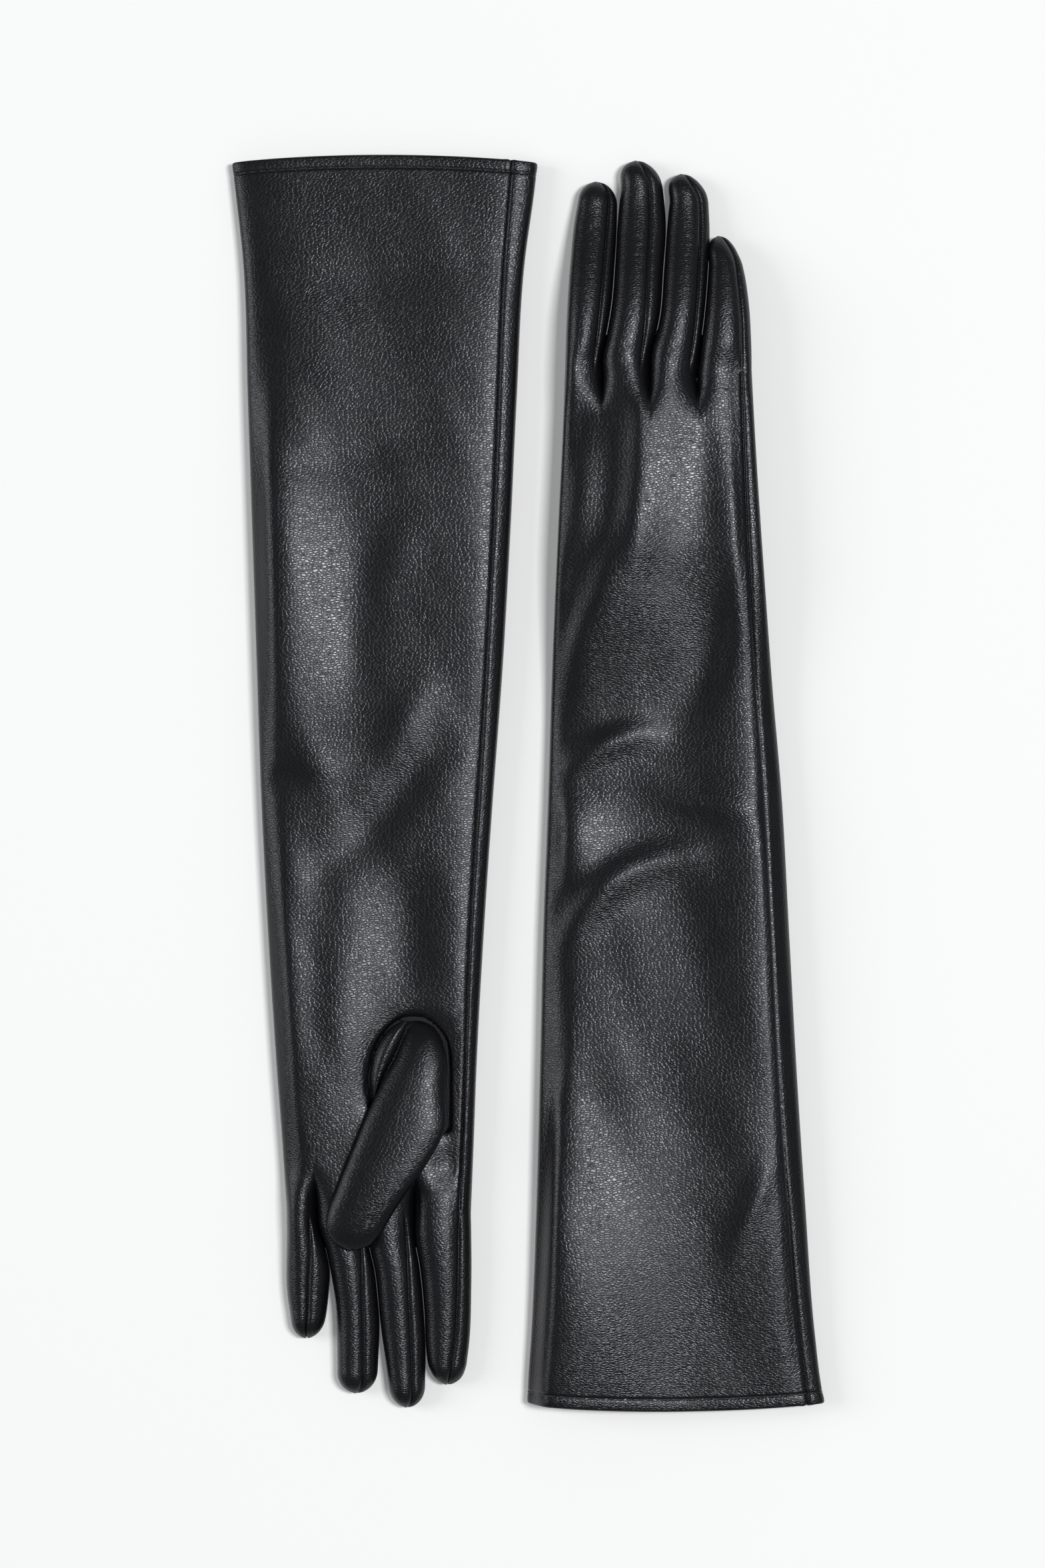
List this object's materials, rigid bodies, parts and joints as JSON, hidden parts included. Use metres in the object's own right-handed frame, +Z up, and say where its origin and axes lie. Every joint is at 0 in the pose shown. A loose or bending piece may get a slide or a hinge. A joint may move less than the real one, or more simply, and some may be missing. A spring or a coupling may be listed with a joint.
{
  "type": "opera gloves",
  "caption": "Pair of long opera gloves in black faux leather, laid flat side by side, one palm up and one palm down, with hemmed open arms and bending fingers, thumbs and wrists.",
  "frame": {"origin": "middle of the pair's footprint, on the table top", "axes": "+Z up; Y runs along the gloves, with the palm-up left glove's fingers towards -Y; +X towards the palm-down right glove"},
  "size_m": [0.2628, 0.5498, 0.0248],
  "materials": {
    "leather": "satin black faux leather with a fine pebbled grain",
    "lining": "matt black knitted lining",
    "thread": "black polyester sewing thread"
  },
  "bodies": {
    "left_arm": {"left_arm_palm_panel": "leather", "left_arm_back_panel": "leather", "left_hem_band": "leather", "left_hem_stitching": "thread", "left_arm_lining": "lining"},
    "left_hand": {"left_hand_palm_panel": "leather", "left_hand_back_panel": "leather", "left_index_middle_gusset": "leather", "left_middle_ring_gusset": "leather", "left_ring_little_gusset": "leather", "left_hand_lining": "lining"},
    "left_index": {"left_index_palm_panel": "leather", "left_index_back_panel": "leather", "left_index_little_side_fourchette": "leather"},
    "left_middle": {"left_middle_palm_panel": "leather", "left_middle_back_panel": "leather", "left_middle_little_side_fourchette": "leather", "left_middle_thumb_side_fourchette": "leather"},
    "left_ring": {"left_ring_palm_panel": "leather", "left_ring_back_panel": "leather", "left_ring_little_side_fourchette": "leather", "left_ring_thumb_side_fourchette": "leather"},
    "left_little": {"left_little_palm_panel": "leather", "left_little_back_panel": "leather", "left_little_thumb_side_fourchette": "leather"},
    "left_thumb": {"left_thumb_outer_panel": "leather", "left_thumb_inner_panel": "leather"},
    "right_arm": {"right_arm_palm_panel": "leather", "right_arm_back_panel": "leather", "right_hem_band": "leather", "right_hem_stitching": "thread", "right_arm_lining": "lining"},
    "right_hand": {"right_hand_palm_panel": "leather", "right_hand_back_panel": "leather", "right_index_middle_gusset": "leather", "right_middle_ring_gusset": "leather", "right_ring_little_gusset": "leather", "right_hand_lining": "lining"},
    "right_index": {"right_index_palm_panel": "leather", "right_index_back_panel": "leather", "right_index_little_side_fourchette": "leather"},
    "right_middle": {"right_middle_palm_panel": "leather", "right_middle_back_panel": "leather", "right_middle_little_side_fourchette": "leather", "right_middle_thumb_side_fourchette": "leather"},
    "right_ring": {"right_ring_palm_panel": "leather", "right_ring_back_panel": "leather", "right_ring_little_side_fourchette": "leather", "right_ring_thumb_side_fourchette": "leather"},
    "right_little": {"right_little_palm_panel": "leather", "right_little_back_panel": "leather", "right_little_thumb_side_fourchette": "leather"},
    "right_thumb": {"right_thumb_outer_panel": "leather", "right_thumb_inner_panel": "leather"}
  },
  "joints": [
    {"name": "left_wrist_bend", "type": "hinge", "parent": "left_arm", "child": "left_hand", "pos_m": [-0.06603, -0.07328, 0.015], "axis": [-1, 0.003, 0], "range_deg": [0, 80]},
    {"name": "left_index_bend", "type": "hinge", "parent": "left_hand", "child": "left_index", "pos_m": [-0.03638, -0.21637, 0.015], "axis": [-1, 0.003, 0], "range_deg": [0, 90]},
    {"name": "left_middle_bend", "type": "hinge", "parent": "left_hand", "child": "left_middle", "pos_m": [-0.05749, -0.21731, 0.015], "axis": [-1, 0.003, 0], "range_deg": [0, 90]},
    {"name": "left_ring_bend", "type": "hinge", "parent": "left_hand", "child": "left_ring", "pos_m": [-0.07811, -0.21625, 0.015], "axis": [-1, 0.003, 0], "range_deg": [0, 90]},
    {"name": "left_little_bend", "type": "hinge", "parent": "left_hand", "child": "left_little", "pos_m": [-0.09773, -0.21019, 0.015], "axis": [-1, 0.003, 0], "range_deg": [0, 90]},
    {"name": "left_thumb_swing", "type": "hinge", "parent": "left_hand", "child": "left_thumb", "pos_m": [-0.03562, -0.13738, 0.01515], "axis": [0.003, 1, 0], "range_deg": [0, 90]},
    {"name": "right_glove_lift", "type": "slide", "parent": "left_arm", "child": "right_arm", "axis": [0, 0, 1], "range_m": [0, 0.12]},
    {"name": "right_wrist_bend", "type": "hinge", "parent": "right_arm", "child": "right_hand", "pos_m": [0.0591, 0.07416, 0], "axis": [-0.9999, -0.017, 0], "range_deg": [0, 80]},
    {"name": "right_index_bend", "type": "hinge", "parent": "right_hand", "child": "right_index", "pos_m": [0.0266, 0.21663, 0.0098], "axis": [-0.9999, -0.017, 0], "range_deg": [0, 90]},
    {"name": "right_middle_bend", "type": "hinge", "parent": "right_hand", "child": "right_middle", "pos_m": [0.04769, 0.21799, 0.0098], "axis": [-0.9999, -0.017, 0], "range_deg": [0, 90]},
    {"name": "right_ring_bend", "type": "hinge", "parent": "right_hand", "child": "right_ring", "pos_m": [0.06832, 0.21734, 0.0098], "axis": [-0.9999, -0.017, 0], "range_deg": [0, 90]},
    {"name": "right_little_bend", "type": "hinge", "parent": "right_hand", "child": "right_little", "pos_m": [0.08807, 0.21168, 0.0098], "axis": [-0.9999, -0.017, 0], "range_deg": [0, 90]},
    {"name": "right_thumb_swing", "type": "hinge", "parent": "right_hand", "child": "right_thumb", "pos_m": [0.02742, 0.13763, 0.00965], "axis": [-0.017, 0.9999, 0], "range_deg": [0, 90]}
  ]
}
